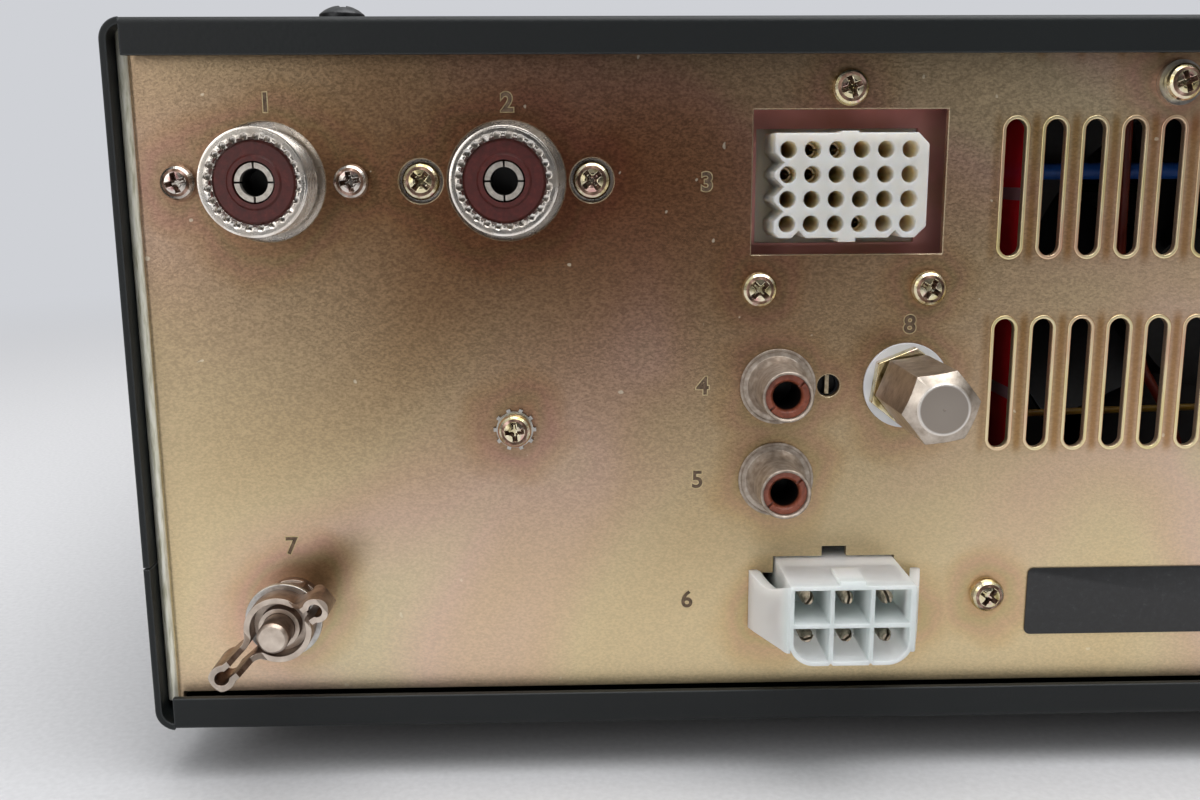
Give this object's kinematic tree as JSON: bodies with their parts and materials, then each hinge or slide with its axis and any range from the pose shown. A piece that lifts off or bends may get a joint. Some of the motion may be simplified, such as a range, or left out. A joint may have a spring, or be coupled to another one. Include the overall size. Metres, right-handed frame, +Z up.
{
  "type": "hf linear amplifier",
  "caption": "Desk-top radio amplifier in a folded sheet-metal case, seen from its rear panel with coaxial sockets, plug connectors, cooling slots, ground terminal and level control.",
  "frame": {"origin": "on the desk, under the middle of the object's bounding box", "axes": "+Z up, -Y out of the front with the meter and knobs, +Y out of the rear panel, +X to the right seen from the front"},
  "size_m": [0.2458, 0.3412, 0.1224],
  "materials": {
    "case_paint": "semi-gloss charcoal enamel, fine texture",
    "chromate": "gold chromate on zinc plating, satin",
    "nickel": "satin nickel plating",
    "steel": "bright zinc plating",
    "phenolic": "dark red-brown phenolic, satin",
    "jack_insulation": "copper-brown phenolic, satin",
    "nylon": "milky natural nylon",
    "black_plastic": "fine-textured moulding",
    "button_plastic": "satin moulding",
    "rubber": "matt moulded rubber",
    "aluminium": "extruded, natural",
    "board": "green solder mask",
    "ferrite": "sintered ferrite",
    "coil_copper": "enamelled copper wire",
    "relay_case": "moulded relay case",
    "ceramic_gold": "gold-plated flange with ceramic cap",
    "red_sheet": "glossy red insulating sheet",
    "blue_wire": "insulated wire",
    "yellow_wire": "insulated wire",
    "red_wire": "insulated wire",
    "trimmer_blue": "moulded trimmer case",
    "wafer": "phenolic switch wafer",
    "meter_black": "moulded meter case",
    "scale_cream": "printed scale plate",
    "needle_red": "painted pointer",
    "lens": "clear moulded window"
  },
  "bodies": {
    "case": {"top_cover": "case_paint", "bottom_cover": "case_paint", "cover_screws": "steel", "rubber_feet": "rubber", "foot_screws": "steel", "rear_panel": "chromate", "side_frames": "chromate", "chassis_deck": "chromate", "front_subpanel": "chromate", "front_panel": "black_plastic", "input_socket_shell": "nickel", "input_socket_insulator": "phenolic", "input_socket_contact": "nickel", "ant_socket_shell": "nickel", "ant_socket_insulator": "phenolic", "ant_socket_contact": "nickel", "socket_screws": "chromate", "accessory_housing": "nylon", "accessory_contacts": "steel", "accessory_bracket": "chromate", "panel_screws": "chromate", "lock_washer": "steel", "level_jack_shell": "nickel", "send_jack_shell": "nickel", "jack_insulators": "jack_insulation", "trimmer_body": "trimmer_blue", "level_pot": "steel", "level_washer": "steel", "level_nut": "chromate", "power_housing": "nylon", "power_pins": "steel", "ground_stud": "nickel", "heat_sink": "aluminium", "fan_frame": "black_plastic", "amplifier_board": "board", "power_transistors": "ceramic_gold", "ferrite_transformers": "ferrite", "filter_board": "board", "filter_coils": "coil_copper", "relays": "relay_case", "insulating_plate": "red_sheet", "blue_wire": "blue_wire", "yellow_wire": "yellow_wire", "red_wire": "red_wire", "switch_wafers": "wafer", "front_switches": "steel", "meter_case": "meter_black", "meter_movement": "scale_cream", "meter_lens": "lens"},
    "band_knob": {"band_knob": "black_plastic", "band_shaft": "steel"},
    "meter_knob": {"meter_knob": "black_plastic"},
    "power_button": {"power_button": "button_plastic"},
    "amp_button": {"amp_button": "button_plastic"},
    "meter_needle": {"meter_needle": "needle_red"},
    "fan_rotor": {"fan_rotor": "black_plastic"},
    "level_knob": {"level_knob": "nickel"},
    "trimmer_rotor": {"trimmer_rotor": "steel"},
    "ground_washers": {"ground_washers": "steel"},
    "wing_nut": {"wing_nut": "nickel"}
  },
  "joints": [
    {"name": "band_knob_turn", "type": "hinge", "parent": "case", "child": "band_knob", "pos_m": [0.0575, -0.1616, 0.071], "axis": [0, 1, 0], "range_deg": [-75, 75]},
    {"name": "meter_knob_turn", "type": "hinge", "parent": "case", "child": "meter_knob", "pos_m": [0.0065, -0.1616, 0.071], "axis": [0, 1, 0], "range_deg": [-45, 45]},
    {"name": "power_button_push", "type": "slide", "parent": "case", "child": "power_button", "axis": [0, 1, 0], "range_m": [0, 0.0035], "stiffness_N_per_m": 250, "springref_m": -0.003},
    {"name": "amp_button_push", "type": "slide", "parent": "case", "child": "amp_button", "axis": [0, 1, 0], "range_m": [0, 0.0035], "stiffness_N_per_m": 250, "springref_m": -0.003},
    {"name": "needle_swing", "type": "hinge", "parent": "case", "child": "meter_needle", "pos_m": [-0.0605, -0.1466, 0.059], "axis": [0, 1, 0], "range_deg": [0, 90], "stiffness_Nm_per_rad": 0.0002, "springref_deg": -34.38},
    {"name": "fan_spin", "type": "hinge", "parent": "case", "child": "fan_rotor", "pos_m": [-0.0655, 0.1108, 0.073], "axis": [0, 1, 0], "continuous": true},
    {"name": "level_knob_turn", "type": "hinge", "parent": "case", "child": "level_knob", "pos_m": [-0.0001, 0.1608, 0.06428], "axis": [0, 1, 0], "range_deg": [-150, 150]},
    {"name": "trimmer_turn", "type": "hinge", "parent": "case", "child": "trimmer_rotor", "pos_m": [0.0121, 0.1478, 0.06428], "axis": [0, 1, 0], "range_deg": [-130, 130]},
    {"name": "washer_slide", "type": "slide", "parent": "case", "child": "ground_washers", "axis": [0, 1, 0], "range_m": [0, 0.0032]},
    {"name": "wing_nut_turn", "type": "hinge", "parent": "ground_washers", "child": "wing_nut", "pos_m": [0.0978, 0.1598, 0.02931], "axis": [0, 1, 0], "range_deg": [0, 1440]}
  ],
  "couplings": [
    {"joint": "wing_nut_turn", "follows": "washer_slide", "rad_per_m": 7854}
  ]
}
